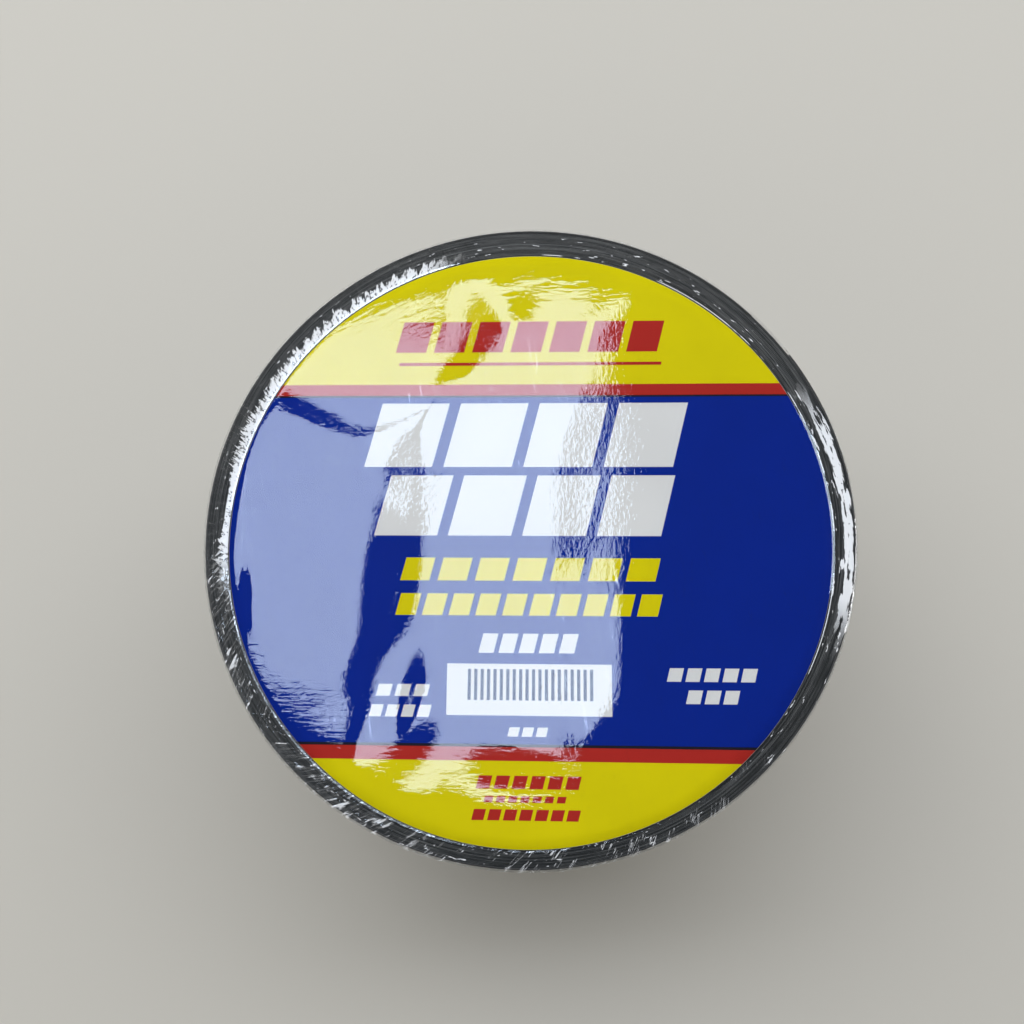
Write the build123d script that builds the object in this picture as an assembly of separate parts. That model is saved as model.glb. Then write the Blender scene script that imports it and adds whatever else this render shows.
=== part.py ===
from build123d import *
import math
import os

# A roll of cloth duct tape as it is sold: 48 mm tape wound on a 3 inch paper core, a printed card disc
# on its upper end, and a clear shrink film drawn tight round the whole roll.
# The roll lies flat. +Z is the roll's axis and points to the label, the label's stripes run along X,
# and the origin is at the middle of the underside, on the surface that the roll lies on.

# ---- Driving dimensions, in millimetres and degrees ----

# Paper core, wound from three plies
core_bore = 76.2
inner_ply = 0.5
middle_plies = 2.0
outer_ply = 0.6

# The tape: a coated cloth backing that carries a rubber adhesive on its inner side
tape_width = 48.0
tape_length = 9144.0
backing_thickness = 0.12
adhesive_thickness = 0.085
free_end_angle = 34.0
tail_gap = 8.4

# Card label, laid by hand a little off the roll's centre
label_diameter = 88.9
label_thickness = 0.3
label_shift_x = 0.2
label_shift_y = -0.8

# Shrink film, and the weld that trims its open sides
film_thickness = 0.1
film_edge_radius = 0.08
film_clearance = 0.05
label_margin = 0.15
seal_height = 1.2
seal_stand_out = 0.35
seal_edge_radius = 0.12
seal_arc = 290.0
fold_angle = 135.0

# ---- Sizes that follow ----

inner_ply_radius = core_bore / 2 + inner_ply
middle_ply_radius = inner_ply_radius + middle_plies
core_radius = middle_ply_radius + outer_ply

# The wound tape fills the ring between the core and the roll's outside, so its length sets that radius.
tape_thickness = backing_thickness + adhesive_thickness
roll_radius = math.sqrt(core_radius**2 + tape_length * tape_thickness / math.pi)
turns = (roll_radius - core_radius) / tape_thickness

# The last turn lies over the bonded turns. Both start on the spiral, which climbs one tape per turn.
bonded_radius = roll_radius - 2 * tape_thickness
adhesive_radius = bonded_radius + adhesive_thickness
last_turn_radius = bonded_radius + tape_thickness
tail_angle = math.degrees(tail_gap / roll_radius)
last_turn_arc = 360 - tail_angle
spiral_start = free_end_angle + tail_angle

# Levels, from the floor up
roll_bottom = film_thickness
roll_top = roll_bottom + tape_width
label_top = roll_top + label_thickness
film_top = label_top + film_thickness
rim_level = roll_top + film_clearance
seam_level = (roll_bottom + roll_top) / 2

# The film's side clears whatever reaches furthest out, and its flat top covers the label wherever it lies.
label_reach = label_diameter / 2 + math.hypot(label_shift_x, label_shift_y)
cover_radius = label_reach + label_margin
film_inner_radius = max(roll_radius, cover_radius) + film_clearance
film_outer_radius = film_inner_radius + film_thickness


def ring(inner, outer, bottom, height):
    """A plain tube between two radii."""
    section = Circle(outer) - Circle(inner)
    return Pos(0, 0, bottom) * extrude(section, height)


def spiral_arc(start, from_angle, to_angle):
    """One half turn of the winding's outline, which begins at radius `start` on the +X side.

    Two half circles whose centres lie a quarter of a tape either side of the axis climb one tape thickness
    in a turn and meet smoothly.
    """
    climb = tape_thickness
    if from_angle < 180:
        centre = (-climb / 4, 0)
        radius = start + climb / 4
    else:
        centre = (climb / 4, 0)
        radius = start + climb * 3 / 4
    return CenterArc(centre, radius, from_angle, to_angle - from_angle)


def winding_outline(start):
    """The closed outline of all turns inside one whole spiral turn, with its step on the +X side."""
    first = spiral_arc(start, 0, 180)
    second = spiral_arc(start, 180, 360)
    step = Line(second @ 1, first @ 0)
    return make_face([first, second, step])


def winding_layer(start, thickness):
    """The section of one layer of the last turn, cut short of its own beginning."""
    inside = [spiral_arc(start, 0, 180), spiral_arc(start, 180, last_turn_arc)]
    outside = [spiral_arc(start + thickness, 0, 180), spiral_arc(start + thickness, 180, last_turn_arc)]
    beginning = Line(inside[0] @ 0, outside[0] @ 0)
    free_end = Line(inside[1] @ 1, outside[1] @ 1)
    return make_face([*inside, *outside, beginning, free_end])


def wound(section):
    """A section of the winding, turned to its place and drawn up to the tape's width."""
    return Pos(0, 0, roll_bottom) * Rot(0, 0, spiral_start) * extrude(section, tape_width)


def least_gap(start, thickness):
    """The least distance between the two ends of the last turn, on points across their thickness."""
    steps = 8
    gaps = []
    for i in range(steps + 1):
        beginning = Vector(start + thickness * i / steps, 0)
        for j in range(steps + 1):
            layer = start + thickness * j / steps
            gaps.append((beginning - spiral_arc(layer, 180, last_turn_arc) @ 1).length)
    return min(gaps)


# ---- Paper core ----

core_inner_ply = ring(core_bore / 2, inner_ply_radius, roll_bottom, tape_width)
core_middle_plies = ring(inner_ply_radius, middle_ply_radius, roll_bottom, tape_width)
core_outer_ply = ring(middle_ply_radius, core_radius, roll_bottom, tape_width)


# ---- Tape ----

# All the turns under the last one are bonded into one mass, whose outline keeps the spiral's small step.
tape_inner_turns = wound(winding_outline(bonded_radius) - Circle(core_radius))
last_turn_adhesive = wound(winding_layer(bonded_radius, adhesive_thickness))
last_turn_backing = wound(winding_layer(adhesive_radius, backing_thickness))


# ---- Label ----

label_disc = Pos(label_shift_x, label_shift_y, roll_top) * extrude(Circle(label_diameter / 2), label_thickness)


# ---- Shrink film ----


def top_panel():
    """The film over the label: flat, then sloping down past the label's edge to the roll's rim."""
    profile = Polyline(
        (0, label_top),
        (cover_radius, label_top),
        (film_inner_radius, rim_level),
        (film_outer_radius, rim_level),
        (film_outer_radius, rim_level + film_thickness),
        (cover_radius, film_top),
        (0, film_top),
        close=True,
    )
    section = make_face(profile)
    corner = section.vertices().sort_by_distance((film_outer_radius, rim_level + film_thickness))[0]
    section = fillet(corner, film_edge_radius)
    return revolve(Plane.XZ * section, Axis.Z)


def bottom_panel():
    """The film under the roll, which spans the core's open end and lies on the floor."""
    disc = extrude(Circle(film_outer_radius), film_thickness)
    lower_edge = disc.edges().group_by(Axis.Z)[0]
    return fillet(lower_edge, film_edge_radius)


film_top_panel = top_panel()
film_top_skirt = ring(film_inner_radius, film_outer_radius, seam_level, rim_level - seam_level)
film_bottom_skirt = ring(film_inner_radius, film_outer_radius, roll_bottom, seam_level - roll_bottom)
film_bottom_panel = bottom_panel()


def trim_seal():
    """The melted bead where the film's two halves are cut and welded. The film's fold needs none."""
    bead = Pos(film_outer_radius + seal_stand_out / 2, seam_level) * Rectangle(seal_stand_out, seal_height)
    bead = fillet(bead.vertices().group_by(Axis.X)[-1], seal_edge_radius)
    fold_width = 360 - seal_arc
    return Rot(0, 0, fold_angle + fold_width / 2) * revolve(Plane.XZ * bead, Axis.Z, seal_arc)


film_trim_seal = trim_seal()


# ---- Parts ----

parts = {
    "core_inner_ply": core_inner_ply,
    "core_middle_plies": core_middle_plies,
    "core_outer_ply": core_outer_ply,
    "tape_inner_turns": tape_inner_turns,
    "last_turn_adhesive": last_turn_adhesive,
    "last_turn_backing": last_turn_backing,
    "label_disc": label_disc,
    "film_top_panel": film_top_panel,
    "film_top_skirt": film_top_skirt,
    "film_bottom_skirt": film_bottom_skirt,
    "film_bottom_panel": film_bottom_panel,
    "film_trim_seal": film_trim_seal,
}

os.makedirs("parts", exist_ok=True)
for name, part in parts.items():
    part.label = name
    export_step(part, f"parts/{name}.step")

print(f"roll radius {roll_radius:.2f} mm, {turns:.1f} turns of tape")
print(f"last turn covers {last_turn_arc:.1f} degrees, least gap to itself"
      f" {least_gap(bonded_radius, tape_thickness):.2f} mm")
print(f"film radius {film_outer_radius:.2f} mm, height over all {film_top:.2f} mm")
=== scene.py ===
# %% [markdown]
# # A shrink-wrapped roll of duct tape
# The object is a roll of black cloth tape, 48 mm wide, on a paper core. A printed card disc covers the
# upper end, and a clear film is shrunk round the whole roll.
# The solids of the construction are loaded first, as a fixed frame. Each Blender piece then takes the
# place of one solid and stays where that solid is. All sizes here are in millimetres, and one helper
# turns them into Blender's metres.

# %% Load the frame
import math
from functools import partialmethod

import bpy
import numpy as np
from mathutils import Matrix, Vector


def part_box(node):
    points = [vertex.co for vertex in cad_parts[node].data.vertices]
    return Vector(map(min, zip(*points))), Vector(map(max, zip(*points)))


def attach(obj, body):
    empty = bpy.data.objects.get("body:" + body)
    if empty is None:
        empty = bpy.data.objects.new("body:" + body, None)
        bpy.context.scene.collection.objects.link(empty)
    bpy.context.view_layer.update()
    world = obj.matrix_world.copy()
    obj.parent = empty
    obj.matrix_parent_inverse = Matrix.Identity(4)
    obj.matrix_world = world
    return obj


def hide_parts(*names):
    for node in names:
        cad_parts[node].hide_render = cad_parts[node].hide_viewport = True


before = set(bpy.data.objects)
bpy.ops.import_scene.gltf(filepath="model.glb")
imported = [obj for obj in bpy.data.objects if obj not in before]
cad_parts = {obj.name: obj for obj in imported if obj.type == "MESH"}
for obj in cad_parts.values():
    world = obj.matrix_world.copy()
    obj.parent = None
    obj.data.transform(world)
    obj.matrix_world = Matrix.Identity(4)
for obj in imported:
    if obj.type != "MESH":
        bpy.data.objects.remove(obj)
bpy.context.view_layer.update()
MM = 0.001


def node_box(node):
    """A construction node's lowest and highest corner in millimetres."""
    low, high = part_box(node)
    return [value / MM for value in low], [value / MM for value in high]


def node_radius(node):
    """The radius of a round node."""
    low, high = node_box(node)
    return (high[0] - low[0]) / 2


print("nodes:", sorted(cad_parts))

# %% [markdown]
# ## Sizes that the pieces share
# The outside sizes come from the frame. What can't be read off a box, such as the tape's thickness and
# the place of its free end, is named here once.

# %% Shared sizes
core_radius = node_radius("core_outer_ply")
roll_bottom = node_box("tape_inner_turns")[0][2]
roll_top = node_box("tape_inner_turns")[1][2]
roll_middle = (roll_bottom + roll_top) / 2
label_low, label_high = node_box("label_disc")
label_radius = node_radius("label_disc")
label_slip = -0.15  # the card lies a little off its nominal place
label_centre = ((label_low[0] + label_high[0]) / 2, (label_low[1] + label_high[1]) / 2 + label_slip)
label_top = label_high[2]
film_radius = node_radius("film_top_skirt")
film_top = node_box("film_top_panel")[1][2]

backing_thickness = 0.12
adhesive_thickness = 0.085
tape_thickness = backing_thickness + adhesive_thickness
roll_swell = 0.1
roll_radius = film_radius + roll_swell
bonded_radius = roll_radius - 2 * tape_thickness
free_end_angle = 34.0
tail_gap = 8.4
tail_angle = math.degrees(tail_gap / roll_radius)
last_turn_start = free_end_angle + tail_angle
last_turn_share = 1 - tail_angle / 360
film_thickness = 0.03
print(f"roll radius {roll_radius:.2f}, label radius {label_radius:.2f}, film radius {film_radius:.2f} mm")

# %% [markdown]
# ## Wiring helper
# Shader trees and Geometry Nodes trees are both lists of nodes and links. This small class adds one node
# per call and takes either a value or another node's output for each input, so that a tree further down
# reads as a list of steps. The sums used most have short names, such as `w.times(width, 2.0)`.

# %% Wiring helper


class Wiring:
    """Adds nodes to one tree and links them."""

    def __init__(self, tree):
        self.tree = tree

    def feed(self, socket, value):
        """Links an output to the socket, or sets the socket's own value."""
        if isinstance(value, bpy.types.NodeSocket):
            self.tree.links.new(value, socket)
        else:
            socket.default_value = value

    def add(self, kind, inputs=None, **settings):
        """A new node with its settings and its inputs, by name or by number."""
        node = self.tree.nodes.new(kind)
        for name, value in settings.items():
            setattr(node, name, value)
        for key, value in (inputs or {}).items():
            self.feed(node.inputs[key], value)
        return node

    def math(self, operation, *values):
        """One Math node's result."""
        node = self.add("ShaderNodeMath", operation=operation)
        for socket, value in zip(node.inputs, values):
            self.feed(socket, value)
        return node.outputs[0]

    times = partialmethod(math, "MULTIPLY")
    times_plus = partialmethod(math, "MULTIPLY_ADD")
    plus = partialmethod(math, "ADD")
    minus = partialmethod(math, "SUBTRACT")
    larger = partialmethod(math, "MAXIMUM")
    smaller = partialmethod(math, "MINIMUM")

    def step(self, kind, inputs=None, **settings):
        """A new node's first output."""
        return self.add(kind, inputs, **settings).outputs[0]

    def vector(self, x, y, z):
        """Three numbers joined to a vector."""
        return self.step("ShaderNodeCombineXYZ", {0: x, 1: y, 2: z})

    def split(self, vector):
        """A vector's three numbers."""
        return self.add("ShaderNodeSeparateXYZ", {0: vector}).outputs

    def ramp(self, value, from_low, from_high, to_low=0.0, to_high=1.0):
        """Maps a range to another and clamps it."""
        sizes = {0: value, 1: from_low, 2: from_high, 3: to_low, 4: to_high}
        return self.step("ShaderNodeMapRange", sizes)

    def group(self, tree, **values):
        """A node group with its named inputs; gives all its outputs."""
        inputs = {name.replace("_", " ").title(): value for name, value in values.items()}
        return self.add("ShaderNodeGroup", inputs, node_tree=tree).outputs

    def noise(self, vector, scale, detail=2.0, roughness=0.5):
        """One Noise Texture's value, from 0 to 1."""
        values = {"Vector": vector, "Scale": scale, "Detail": detail, "Roughness": roughness}
        return self.step("ShaderNodeTexNoise", values)

    def grain(self, x, x_scale, y, y_scale, z=0.0, detail=2.0, roughness=0.5):
        """Noise of two readings, each with its own number of grains to a millimetre."""
        place = self.vector(self.times(x, x_scale), self.times(y, y_scale), z)
        return self.noise(place, 1.0, detail, roughness)

    def distance(self, x, y):
        """How far a point is from the origin, from two numbers."""
        return self.math("SQRT", self.times_plus(x, x, self.times(y, y)))

    def mix(self, factor, first, second):
        """Two colours mixed by a factor."""
        node = self.add("ShaderNodeMix", data_type="RGBA")
        for socket, value in zip((node.inputs[0], node.inputs[6], node.inputs[7]), (factor, first, second)):
            self.feed(socket, value)
        return node.outputs[2]


def new_group(name, kind, inputs, outputs):
    """An empty node group with named inputs and outputs, and its wiring."""
    tree = bpy.data.node_groups.new(name, kind)
    for label, value in inputs.items():
        socket_kind = "NodeSocketInt" if isinstance(value, int) else "NodeSocketFloat"
        if isinstance(value, str):
            socket_kind = value
        socket = tree.interface.new_socket(label, in_out="INPUT", socket_type=socket_kind)
        if not isinstance(value, str):
            socket.default_value = value
    for label, socket_kind in outputs.items():
        tree.interface.new_socket(label, in_out="OUTPUT", socket_type=socket_kind)
    print(f"node group {name}: {', '.join(inputs)}")
    wiring = Wiring(tree)
    return wiring, wiring.add("NodeGroupInput").outputs, wiring.add("NodeGroupOutput").inputs


# %% [markdown]
# ## The camera
# The roll is looked down on from close above, a little from the lower right, so the camera stands over
# the label and leans back slightly. It is placed by its position and three small turns, which came out of
# a least-squares fit to the outlines of the roll and its label.

# %% Camera
camera_place = (5.4, -30.6, 196.7)
camera_tilt = (12.55, 2.80, -0.15)
view_across = 53.0
camera_data = bpy.data.cameras.new("camera")
camera_data.sensor_width = 36.0
camera_data.lens = camera_data.sensor_width / 2 / math.tan(math.radians(view_across / 2))
camera_data.clip_start = 0.01
camera = bpy.data.objects.new("camera", camera_data)
camera.rotation_mode = "ZYX"
camera.rotation_euler = [math.radians(angle) for angle in camera_tilt]
camera.location = [value * MM for value in camera_place]
bpy.context.scene.collection.objects.link(camera)
bpy.context.scene.camera = camera
print(f"lens {camera_data.lens:.1f} mm")

# %% [markdown]
# ## Lamps and floor
# Clear film shows mostly as what it mirrors. Ceiling panels therefore hang where the film mirrors them
# towards the camera: two over the label's left half with a narrow dark gap between them, a long one that
# makes the bright strip beside them, and one that only the sloping film at the right rim sees.
# `mirrored` works out such a place: the way from the camera to a point on the film, reflected upwards to
# the panels' height. Panels straight above would also wash out the roll's shadow, so they show in
# mirrors alone. A broad key lamp behind the roll does the lighting, and it is left out of the mirrors.

# %% Lamp helpers
panel_height = 900.0
panel_radiance = 4.6
panel_colour = (0.83, 0.98, 1.18)
window_colour = (1.0, 0.96, 0.88)
key_colour = (0.93, 0.98, 1.07)
plain_white = (1.0, 1.0, 1.0)
roll_centre = (0.0, 0.0, 24.0)


def mirrored(x, y):
    """The point at the panels' height that the flat film at (x, y) mirrors to the camera."""
    above_film = camera_place[2] - film_top
    along = panel_height / above_film
    return x + (x - camera_place[0]) * along, y + (y - camera_place[1]) * along


def area_lamp(name, place, size, power, colour=plain_white):
    """A rectangular lamp at a place, looking towards the roll, and not seen by the camera."""
    lamp = bpy.data.lights.new(name, "AREA")
    lamp.shape = "RECTANGLE"
    lamp.size = size[0] * MM
    lamp.size_y = size[1] * MM
    lamp.energy = power
    lamp.color = colour
    lamp_object = bpy.data.objects.new(name, lamp)
    lamp_object.location = [value * MM for value in place]
    direction = Vector(roll_centre) - Vector(place)
    lamp_object.rotation_euler = direction.to_track_quat("-Z", "Y").to_euler()
    lamp_object.visible_camera = False
    bpy.context.scene.collection.objects.link(lamp_object)
    return lamp_object


def ceiling_panel(name, middle, size, turned):
    """A level panel, given by its mirror image on the label: its middle, its size and its turn."""
    scale = 1 + panel_height / (camera_place[2] - film_top)
    place = (*mirrored(*middle), film_top + panel_height)
    width, length = size[0] * scale, size[1] * scale
    power = panel_radiance * math.pi * width * length * MM * MM
    panel = area_lamp(name, place, (width, length), power, panel_colour)
    panel.rotation_euler = (0.0, 0.0, math.radians(turned))
    panel.visible_diffuse = False
    print(f"{name}: {width:.0f} x {length:.0f} mm, {power:.2f} W")


# %% [markdown]
# The first three panels' numbers weren't chosen by hand. They come from the same fitting program as the
# film's pulls further down. The fourth panel and the other lamps were set one by one.

# %% Lamps
ceiling_panel("panel_lower_left", (-34.8, -3.9), (27.3, 41.4), -9.3)
ceiling_panel("panel_upper_left", (-27.6, 27.7), (31.2, 18.3), -19.0)
ceiling_panel("panel_strip", (-2.0, 3.4), (26.9, 72.3), -8.6)
ceiling_panel("panel_right", (63.0, 8.0), (15.0, 40.0), 0.0)
area_lamp("back_window", (-640.0, 900.0, 570.0), (430.0, 320.0), 0.95, window_colour)
key = area_lamp("key_lamp", (-40.0, 520.0, 930.0), (2600.0, 500.0), 12.4, key_colour)
key.visible_glossy = False
side = area_lamp("side_lamp", (560.0, 60.0, 420.0), (160.0, 300.0), 0.8)
side.visible_diffuse = False

# %% [markdown]
# Overhead the sky is dark between the panels, so the rest of the label shows its full colour. It is
# brighter towards the horizon and fills the shadows.

# %% Sky


def sky_world():
    """A sky that is dark overhead and light at the horizon."""
    world = bpy.data.worlds.new("sky")
    world.use_nodes = True
    w = Wiring(world.node_tree)
    upward = w.split(w.add("ShaderNodeTexCoord").outputs["Generated"])[2]
    horizon_top, dark_from = 0.52, 0.80
    horizon_strength, overhead_strength = 0.76, 0.03
    background = world.node_tree.nodes["Background"]
    background.inputs["Color"].default_value = (0.98, 0.97, 0.94, 1.0)
    strength = w.ramp(upward, horizon_top, dark_from, horizon_strength, overhead_strength)
    w.feed(background.inputs["Strength"], strength)
    return world


bpy.context.scene.world = sky_world()

# %% [markdown]
# The floor is one large plain square.

# %% Floor
floor_half = 1500.0
floor_mesh = bpy.data.meshes.new("floor")
corners = [(x * floor_half * MM, y * floor_half * MM, 0.0) for x, y in ((-1, -1), (1, -1), (1, 1), (-1, 1))]
floor_mesh.from_pydata(corners, [], [(0, 1, 2, 3)])
floor = bpy.data.objects.new("floor", floor_mesh)
bpy.context.scene.collection.objects.link(floor)


def new_material(name):
    """A material with a Principled shader, and the wiring to build its nodes."""
    material = bpy.data.materials.new(name)
    material.use_nodes = True
    print("material:", name)
    return material, Wiring(material.node_tree), material.node_tree.nodes["Principled BSDF"]


floor_paint, _, floor_shader = new_material("floor_plain")
floor_shader.inputs["Base Color"].default_value = (0.64, 0.61, 0.54, 1.0)
floor_shader.inputs["Roughness"].default_value = 0.6
floor_mesh.materials.append(floor_paint)

# %% [markdown]
# ## Mesh helpers
# Round pieces are rings of points joined by four-sided faces. `ring_faces` makes those faces for any
# stack of rings, and `piece` turns the points into an object that rides on the roll and stands for its
# construction node.

# %% Mesh helpers


def ring_faces(rings, points, closed_stack=False):
    """Faces between neighbouring rings, each of `points` points, all the way round."""
    faces = []
    stack = rings if closed_stack else rings - 1
    for ring in range(stack):
        here = ring * points
        there = (ring + 1) % rings * points
        for i in range(points):
            j = (i + 1) % points
            faces.append((here + i, here + j, there + j, there + i))
    return faces


def mesh_object(name, points, faces, smooth_angle=40.0):
    """An object from points in millimetres, smooth except at edges sharper than the angle."""
    mesh = bpy.data.meshes.new(name)
    mesh.from_pydata((np.asarray(points) * MM).tolist(), [], faces)
    mesh.validate()
    mesh.shade_smooth()
    mesh.set_sharp_from_angle(angle=math.radians(smooth_angle))
    made = bpy.data.objects.new(name, mesh)
    bpy.context.scene.collection.objects.link(made)
    print(f"mesh {name}: {len(mesh.vertices)} points")
    return made


def with_modifiers_applied(made):
    """Bakes an object's modifiers into its mesh."""
    bpy.context.view_layer.update()
    depsgraph = bpy.context.evaluated_depsgraph_get()
    mesh = bpy.data.meshes.new_from_object(made.evaluated_get(depsgraph))
    made.modifiers.clear()
    made.data = mesh
    return made


def finish_piece(made, material, slot, *nodes):
    """Gives a piece its material and hides the nodes that it stands for; the slot is not used."""
    made.data.materials.clear()
    made.data.materials.append(material)
    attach(made, "root")
    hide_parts(*nodes)
    triangles = sum(len(face.vertices) - 2 for face in made.data.polygons)
    print(f"{made.name}: {triangles} triangles")
    return made


# %% [markdown]
# ## The wound tape
# The roll is one long strip, wound some thirty times. Its cut edges show at both ends as fine rings: no
# turn lies quite level with the next, and one step in the middle comes from where the winding machine
# shifted. A plain tube with a striped material would look flat at the rim, so the strip is really wound.
# Geometry Nodes suit this, because the path is a rule: each point lies a little further out and a little
# further round than the one before. The same tree makes the last turn's two layers.

# %% Steps that the trees share


def stored(w, geometry, name, value):
    """The geometry with a value on its points, for the materials to read."""
    values = {"Geometry": geometry, "Name": name, "Value": value}
    return w.step("GeometryNodeStoreNamedAttribute", values, data_type="FLOAT", domain="POINT")


def on_circle(w, radius, angle, height):
    """A point's place from its distance and direction from the axis and its height."""
    across = w.times(radius, w.math("COSINE", angle))
    return w.vector(across, w.times(radius, w.math("SINE", angle)), height)


def swept(w, points, section, **more):
    """A section swept upright along a line of points, and closed at its ends."""
    path = w.step("GeometryNodeMeshToCurve", {"Mesh": points})
    upright = w.step("GeometryNodeSetCurveNormal", {"Curve": path}, mode="Z_UP")
    inputs = {"Curve": upright, "Profile Curve": section, "Fill Caps": True, **more}
    return w.step("GeometryNodeCurveToMesh", inputs)


def in_metres(w, geometry):
    """The geometry in Blender's metres, and smooth."""
    metres = w.step("GeometryNodeTransform", {"Geometry": geometry, "Scale": (MM, MM, MM)})
    return w.step("GeometryNodeSetShadeSmooth", {"Geometry": metres, "Shade Smooth": True})


def end_tree(w, geometry, given, result):
    """The last two steps of every tree: real geometry, and its material."""
    real = w.step("GeometryNodeRealizeInstances", {"Geometry": geometry})
    painted = {"Geometry": real, "Material": given["Material"]}
    w.feed(result["Geometry"], w.step("GeometryNodeSetMaterial", painted))
    return w.tree


# %% [markdown]
# The tree below lays points along a spiral, sweeps the tape's section along them and lets each turn
# wander. `turn` and `along` stay on the points, so that the materials can follow the strip.

# %% The winding tree


def winding_tree():
    """A strip of tape wound as a spiral, standing on its edge."""
    inputs = {
        "First Radius": 41.2, "Pitch": 0.205, "Thickness": 0.19, "Start Angle": 0.0, "Turns": 30.0,
        "Points per Turn": 180, "Width": 47.8, "Middle": 24.1, "Wander": 0.05, "Step Turn": 22.0,
        "Step": 0.1, "Edge Round": 0.04, "Seed": 1.0, "Material": "NodeSocketMaterial",
    }
    outputs = {"Geometry": "NodeSocketGeometry"}
    w, given, result = new_group("wound_tape", "GeometryNodeTree", inputs, outputs)
    w.tree.is_modifier = True

    steps = w.math("ROUND", w.times(given["Turns"], given["Points per Turn"]))
    line = w.step("GeometryNodeMeshLine", {"Count": w.plus(steps, 1.0)})
    turn = w.math("DIVIDE", w.step("GeometryNodeInputIndex"), given["Points per Turn"])
    angle = w.plus(w.math("RADIANS", given["Start Angle"]), w.times(turn, math.tau))
    middle_radius = w.plus(given["First Radius"], w.times(given["Thickness"], 0.5))
    radius = w.plus(middle_radius, w.times(given["Pitch"], turn))
    spiral = w.step(
        "GeometryNodeSetPosition", {"Geometry": line, "Position": on_circle(w, radius, angle, 0.0)}
    )
    measured = stored(w, stored(w, spiral, "turn", turn), "along", w.times(angle, radius))

    sizes = {"Width": given["Thickness"], "Height": given["Width"]}
    section = w.step("GeometryNodeCurvePrimitiveQuadrilateral", sizes)
    fillet = {"Curve": section, "Radius": given["Edge Round"], "Count": 1}
    strip = swept(w, measured, w.step("GeometryNodeFilletCurve", fillet, mode="POLY"))

    turn_number = w.step("GeometryNodeInputNamedAttribute", {"Name": "turn"}, data_type="FLOAT")
    wander = w.noise(w.vector(w.times(turn_number, 0.9), given["Seed"], 0.0), 3.0, 3.0)
    stepped = w.times(w.math("GREATER_THAN", turn_number, given["Step Turn"]), given["Step"])
    rise_by = w.times(w.minus(wander, 0.5), w.times(given["Wander"], 2.0))
    lifted = w.vector(0.0, 0.0, w.plus(given["Middle"], w.minus(rise_by, stepped)))
    seated = w.step("GeometryNodeSetPosition", {"Geometry": strip, "Offset": lifted})

    smooth = in_metres(w, seated)
    corner = w.math("GREATER_THAN", w.step("GeometryNodeInputMeshEdgeAngle"), math.radians(25))
    edges = {"Geometry": smooth, "Selection": corner, "Shade Smooth": False}
    crisp = w.step("GeometryNodeSetShadeSmooth", edges, domain="EDGE")
    return end_tree(w, crisp, given, result)


wound_tape = winding_tree()


def grown(name, tree, values):
    """A plain mesh object from a Geometry Nodes tree and values for its named inputs."""
    made = bpy.data.objects.new(name, bpy.data.meshes.new(name))
    bpy.context.scene.collection.objects.link(made)
    modifier = made.modifiers.new("grown", "NODES")
    modifier.node_group = tree
    for item in tree.interface.items_tree:
        if item.in_out == "INPUT" and item.name in values:
            modifier[item.identifier] = values[item.name]
    return with_modifiers_applied(made)


# %% [markdown]
# ## Black tape: its cut edges, its cloth-backed face and its adhesive
# The slit edges of the strip are dull black with grey streaks that run along the tape, where the blade
# dragged thread ends and adhesive over them. The face is a black plastic coat over a cloth, so the weave
# shows through as a faint grid. Both follow the strip itself: the winding tree stored how far along the
# tape each point lies, and the materials read that.

# %% Tape materials


def stored_value(w, name):
    """A value that a mesh carries on its points."""
    return w.add("ShaderNodeAttribute", attribute_name=name).outputs["Fac"]


def object_place(w):
    """The point's place in millimetres, as three numbers."""
    place = w.add("ShaderNodeTexCoord").outputs["Object"]
    scaled = w.add("ShaderNodeVectorMath", {0: place, "Scale": 1 / MM}, operation="SCALE")
    return w.split(scaled.outputs[0])


def dress(w, shader, colour, roughness, relief, strength, depth):
    """Gives a shader its colour, its roughness and a relief so many millimetres deep."""
    w.feed(shader.inputs["Base Color"], colour)
    w.feed(shader.inputs["Roughness"], roughness)
    bump = w.step("ShaderNodeBump", {"Height": relief, "Strength": strength, "Distance": depth * MM})
    w.feed(shader.inputs["Normal"], bump)


def tape_edge_material():
    """Slit tape edges: dull black with long pale streaks."""
    material, w, shader = new_material("tape_edges")
    turn = stored_value(w, "turn")
    along = stored_value(w, "along")
    streaks = w.grain(along, 0.10, turn, 1.7, 0.0, 4.0, 0.6)
    rings = w.grain(along, 0.004, turn, 0.75, 5.0, 3.0, 0.6)
    tone = w.ramp(w.plus(w.times(streaks, 0.5), w.times(rings, 0.5)), 0.46, 0.62)
    colour = w.mix(tone, (0.007, 0.008, 0.008, 1.0), (0.095, 0.098, 0.096, 1.0))
    dress(w, shader, colour, w.ramp(streaks, 0.3, 0.7, 0.42, 0.62), streaks, 0.35, 0.03)
    return material


def tape_backing_material():
    """Plastic-coated cloth: satin black with the weave's grid showing through."""
    material, w, shader = new_material("tape_backing")
    along = stored_value(w, "along")
    height = object_place(w)[2]
    thread_pitch = 0.8
    weft_share = 1.3
    warp = w.math("SINE", w.times(along, math.tau / thread_pitch))
    weft = w.math("SINE", w.times(height, math.tau / (thread_pitch * weft_share)))
    threads = [w.math("POWER", w.math("ABSOLUTE", wave), 4.0) for wave in (warp, weft)]
    cloud = w.grain(along, 0.15, height, 0.15, 2.0, 4.0)
    colour = w.mix(cloud, (0.010, 0.011, 0.011, 1.0), (0.026, 0.027, 0.028, 1.0))
    relief = w.plus(w.larger(*threads), w.times(cloud, 0.8))
    dress(w, shader, colour, w.ramp(cloud, 0.3, 0.7, 0.3, 0.42), relief, 0.5, 0.02)
    return material


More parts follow.
